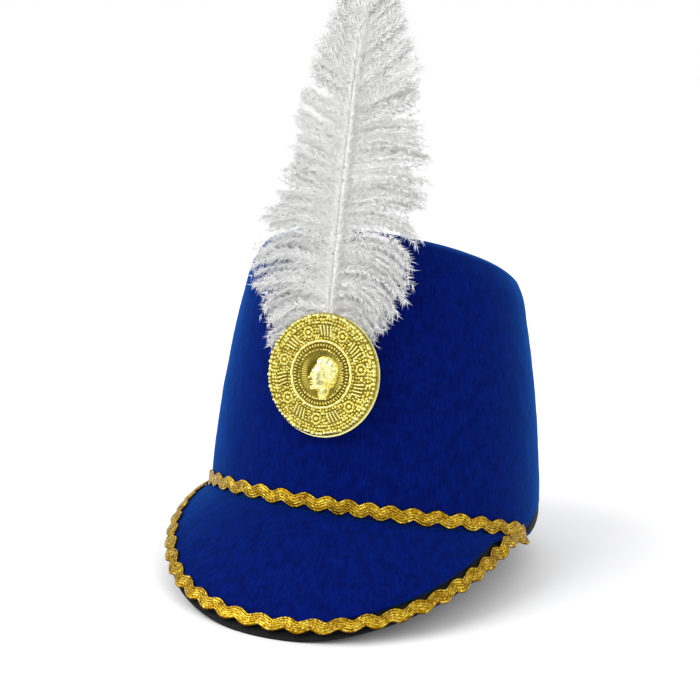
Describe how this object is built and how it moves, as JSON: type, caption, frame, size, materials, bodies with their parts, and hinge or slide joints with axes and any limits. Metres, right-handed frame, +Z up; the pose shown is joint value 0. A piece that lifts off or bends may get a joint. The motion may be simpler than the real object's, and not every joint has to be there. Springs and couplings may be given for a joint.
{
  "type": "shako hat",
  "caption": "Blue felt shako hat with a drooping peak, gold ric-rac trims, a round embossed medallion and an upright white feather plume.",
  "frame": {"origin": "centre of the footprint box, on the surface that the hat rests on", "axes": "+Z up, +X to the right seen from the front, the peak points along -Y"},
  "size_m": [0.1927, 0.2475, 0.3456],
  "materials": {
    "blue_felt": "royal blue wool-look felt, matt with a short nap",
    "black_lining": "matt black foam-backed lining",
    "gold_braid": "metallic gold ric-rac braid",
    "gold_plastic": "gold-plated embossed plastic, bright",
    "white_feather": "soft white feather"
  },
  "bodies": {
    "root": {"crown": "blue_felt", "inner_band": "black_lining", "peak": "blue_felt", "peak_lining": "black_lining", "crown_trim": "gold_braid", "peak_trim": "gold_braid", "medallion": "gold_plastic", "medallion_post": "black_lining", "plume": "white_feather"}
  },
  "joints": []
}
